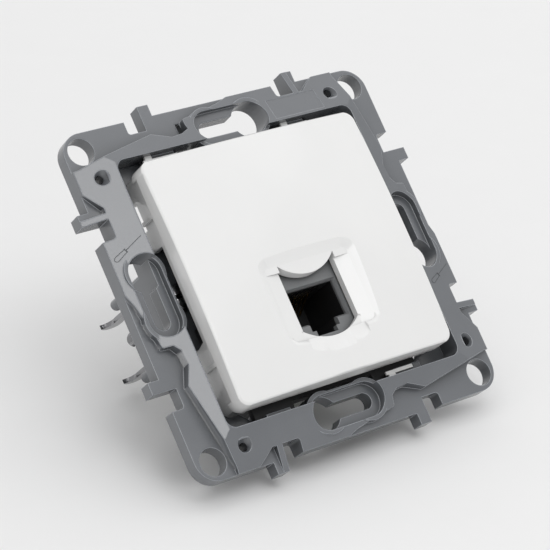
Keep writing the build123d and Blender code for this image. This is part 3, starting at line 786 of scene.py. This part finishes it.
class SOCKET_OT_front_cover(Operator):
    """Glossy domed cover with true dome reflections"""

    bl_idname = "socket.front_cover"
    bl_label = "Front Cover"

    def execute(self, context):
        sizes = context.scene.socket_sizes
        piece = cad_copy("front_cover", "cover_plate")
        smooth(piece, angle=24.0)
        self.sink_corners(piece.data, sizes)
        self.true_dome(piece.data, sizes)
        dress(piece, finish_of("cover"), "socket", "cover_plastic", "front_cover")
        return {"FINISHED"}

    def sink_corners(self, mesh, sizes):
        """Brings rib corners that stand a few hundredths proud of the dome down onto it."""
        back = sizes.dome_radius - sizes.dome_top
        centre = Vector((0.0, back, 0.0))
        shape = bmesh.new()
        shape.from_mesh(mesh)
        for vert in shape.verts:
            spot = vert.co
            proud = (spot - centre).length - sizes.dome_radius
            if spot.y < RIB_FRONT and DOUBLES < proud < PROUD_LIMIT:
                spot.y = back - math.sqrt(sizes.dome_radius**2 - spot.x**2 - spot.z**2)
        bmesh.ops.remove_doubles(shape, verts=shape.verts, dist=DOUBLES)
        shape.to_mesh(mesh)
        shape.free()

    def true_dome(self, mesh, sizes):
        """Gives the facets of the dome the normals of the sphere they lie on."""
        centre = Vector((0.0, sizes.dome_radius - sizes.dome_top, 0.0))
        on_dome = [abs((v.co - centre).length - sizes.dome_radius) < DOME_NEAR
                   for v in mesh.vertices]
        normals = [Vector(n.vector) for n in mesh.corner_normals]
        for face in mesh.polygons:
            if all(on_dome[v] for v in face.vertices) and face.normal.y < DOME_FACING:
                for corner in face.loop_indices:
                    spot = mesh.vertices[mesh.loops[corner].vertex_index].co
                    normals[corner] = (spot - centre).normalized()
        mesh.normals_split_custom_set([tuple(n) for n in normals])


class SOCKET_OT_jack(Operator):
    """Jack housing, tray, insert, board, punch-down block and cap"""

    bl_idname = "socket.jack"
    bl_label = "Jack and Tray"

    def execute(self, context):
        parts = (
            ("jack_housing", "jack_body", "jack", "jack_plastic"),
            ("jack_carrier", "jack_tray", "tray", "dark_plastic"),
            ("contact_insert", "cavity_lining", "insert", "black_plastic"),
            ("idc_block", "punch_block", "block", "block_plastic"),
            ("wire_cap", "core_cap", "block", "cap_plastic"),
        )
        for node, name, finish, slot in parts:
            piece = smooth(cad_copy(node, name))
            dress(piece, finish_of(finish), "socket", slot, node)
        repaint(finish_of("board"), "jack_board")
        blades = [f"idc_terminal_{i + 1}" for i in range(WIRE_COUNT)]
        repaint(finish_of("steel"), *blades)
        return {"FINISHED"}


class SOCKET_OT_contacts(Operator):
    """Eight folded spring wires, repeated at an even pitch"""

    bl_idname = "socket.contacts"
    bl_label = "Spring Wires"

    def execute(self, context):
        sizes = context.scene.socket_sizes
        low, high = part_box("contact_1")
        front = low[1] + sizes.wire_width / 2
        path = [(0.0, high[1], WIRE_ROOF), (0.0, front, WIRE_ROOF), (0.0, *WIRE_END)]
        wires = grown("spring_wires", wire_tree(), [path], {
            "Count": WIRE_COUNT, "Pitch": sizes.wire_pitch, "Width": sizes.wire_width,
            "Bend": sizes.wire_bend, "Material": finish_of("gold")})
        smooth_round(wires)
        nodes = [f"contact_{i + 1}" for i in range(WIRE_COUNT)]
        dress(wires, finish_of("gold"), "socket", "contact_gold", *nodes)
        return {"FINISHED"}


class SOCKET_OT_claws(Operator):
    """Two pressed claws in bright plated steel"""

    bl_idname = "socket.claws"
    bl_label = "Claws"

    def execute(self, context):
        for side in ("left", "right"):
            node = f"claw_{side}"
            piece = cad_copy(node, f"pressed_claw_{side}")
            soften(piece, context.scene.socket_sizes.metal_edge)
            dress(piece, finish_of("steel"), node, "bright_steel", node)
        return {"FINISHED"}


class SOCKET_OT_claw_screws(Operator):
    """Two claw screws with a cut head and a rolled thread"""

    bl_idname = "socket.claw_screws"
    bl_label = "Claw Screws"

    def execute(self, context):
        sizes = context.scene.socket_sizes
        tree = thread_tree()
        core = sizes.shank_radius - sizes.thread_depth
        for side in ("left", "right"):
            node = f"claw_screw_{side}"
            low, high = (Vector(corner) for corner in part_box(node))
            middle = (low + high) / 2
            piece = cad_copy(node, f"claw_bolt_{side}")
            self.thin_shank(piece.data, middle, core)
            soften(piece, sizes.small_edge)
            dress(piece, finish_of("steel"), node, "bright_steel", node)
            start = SCREW_SEAT + THREAD_START
            run = high.y - THREAD_TAIL - start
            ridge = grown(f"bolt_thread_{side}", tree, [], {
                "Core Radius": core - THREAD_FOOT, "Depth": sizes.thread_depth,
                "Pitch": sizes.thread_pitch, "Turns": run / sizes.thread_pitch,
                "Place": (middle.x, start, middle.z), "Material": finish_of("steel")})
            smooth_round(ridge)
            dress(ridge, finish_of("steel"), node, "bright_steel")
        return {"FINISHED"}

    def thin_shank(self, mesh, middle, core):
        """Draws the shank behind the seat in to the thread's core."""
        for vert in mesh.vertices:
            out = Vector((vert.co.x - middle.x, 0.0, vert.co.z - middle.z))
            if vert.co.y > SCREW_SEAT + 0.01 * MM and out.length > core:
                out *= core / out.length
                vert.co = Vector((middle.x + out.x, vert.co.y, middle.z + out.z))


class SOCKET_OT_studio(Operator):
    """Pale table, soft lights and the camera"""

    bl_idname = "socket.studio"
    bl_label = "Studio"

    def execute(self, context):
        scene = context.scene
        studio = scene.socket_studio
        upward = Vector((0.0, -math.sin(studio.lean), math.cos(studio.lean)))
        look = Vector(CAMERA_LOOK).normalized()
        self.camera(scene, look)
        self.table(upward)
        self.panels(scene, studio.panel_power, upward, look)
        self.world(scene, studio.fill)
        scene.view_settings.view_transform = "Standard"
        return {"FINISHED"}

    def world(self, scene, fill):
        """Fills the shadows with an even white light from all round."""
        world = bpy.data.worlds.new("studio")
        world.use_nodes = True
        back = world.node_tree.nodes["Background"]
        back.inputs["Color"].default_value = (1.0, 1.0, 1.0, 1.0)
        back.inputs["Strength"].default_value = fill
        scene.world = world

    def camera(self, scene, look):
        """Sets the camera that was fitted to the view."""
        right = look.cross(Vector(CAMERA_TOP)).normalized()
        data = bpy.data.cameras.new("camera")
        data.sensor_width = CAMERA_SENSOR
        data.lens = CAMERA_LENS
        camera = bpy.data.objects.new("camera", data)
        place = Matrix((right, right.cross(look), -look)).transposed().to_4x4()
        place.translation = Vector(CAMERA_PLACE)
        camera.matrix_world = place
        scene.collection.objects.link(camera)
        scene.camera = camera

    def table(self, upward):
        """Lays the table under the lowest points of the socket, which leans back on its claws."""
        low = min(upward @ Vector(v.co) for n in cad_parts.values() for v in n.data.vertices)
        turn = Vector((0, 0, 1)).rotation_difference(upward).to_matrix().to_4x4()
        shape = bmesh.new()
        bmesh.ops.create_grid(shape, x_segments=8, y_segments=8, size=TABLE_HALF)
        bmesh.ops.transform(shape, matrix=turn, verts=shape.verts)
        bmesh.ops.translate(shape, vec=upward * (low - TABLE_GAP), verts=shape.verts)
        table = link_shape("table", shape)
        table.data.materials.append(finish_of("table"))

    def panels(self, scene, power, upward, look):
        """Hangs the soft panels, level over the table."""
        right = upward.cross(-look).normalized()
        near = right.cross(upward).normalized()
        for name, (across, up, forward), width, depth, bright in PANELS:
            lamp = bpy.data.lights.new(name, "AREA")
            lamp.shape = "RECTANGLE"
            lamp.size = width
            lamp.size_y = depth
            lamp.energy = bright * power * width * depth
            light = bpy.data.objects.new(name, lamp)
            place = Matrix((right, -near, upward)).transposed().to_4x4()
            place.translation = right * across + upward * up + near * forward
            light.matrix_world = place
            scene.collection.objects.link(light)


class SOCKET_PT_panel(Panel):
    """Sizes, finishes and the pieces in building order"""

    bl_idname = "SOCKET_PT_panel"
    bl_label = "Network Wall Socket"
    bl_space_type = "VIEW_3D"
    bl_region_type = "UI"
    bl_category = "Wall Socket"

    def draw(self, context):
        layout = self.layout
        scene = context.scene
        for group in (scene.socket_sizes, scene.socket_finishes, scene.socket_studio):
            box = layout.box()
            for name in group.__annotations__:
                box.prop(group, name)
        column = layout.column(align=True)
        for step in STEPS:
            column.operator(step.bl_idname)


STEPS = (
    SOCKET_OT_support_frame,
    SOCKET_OT_front_cover,
    SOCKET_OT_jack,
    SOCKET_OT_contacts,
    SOCKET_OT_claws,
    SOCKET_OT_claw_screws,
    SOCKET_OT_studio,
)
GROUPS = (
    ("socket_sizes", SocketSizes),
    ("socket_finishes", SocketFinishes),
    ("socket_studio", SocketStudio),
)


def register():
    for name, group in GROUPS:
        bpy.utils.register_class(group)
        setattr(bpy.types.Scene, name, PointerProperty(type=group))
    for step in STEPS:
        bpy.utils.register_class(step)
    bpy.utils.register_class(SOCKET_PT_panel)


def unregister():
    bpy.utils.unregister_class(SOCKET_PT_panel)
    for step in reversed(STEPS):
        bpy.utils.unregister_class(step)
    for name, group in reversed(GROUPS):
        delattr(bpy.types.Scene, name)
        bpy.utils.unregister_class(group)


def main():
    register()
    for step in STEPS:
        area, action = step.bl_idname.split(".")
        getattr(getattr(bpy.ops, area), action)()


if __name__ == "__main__":
    main()
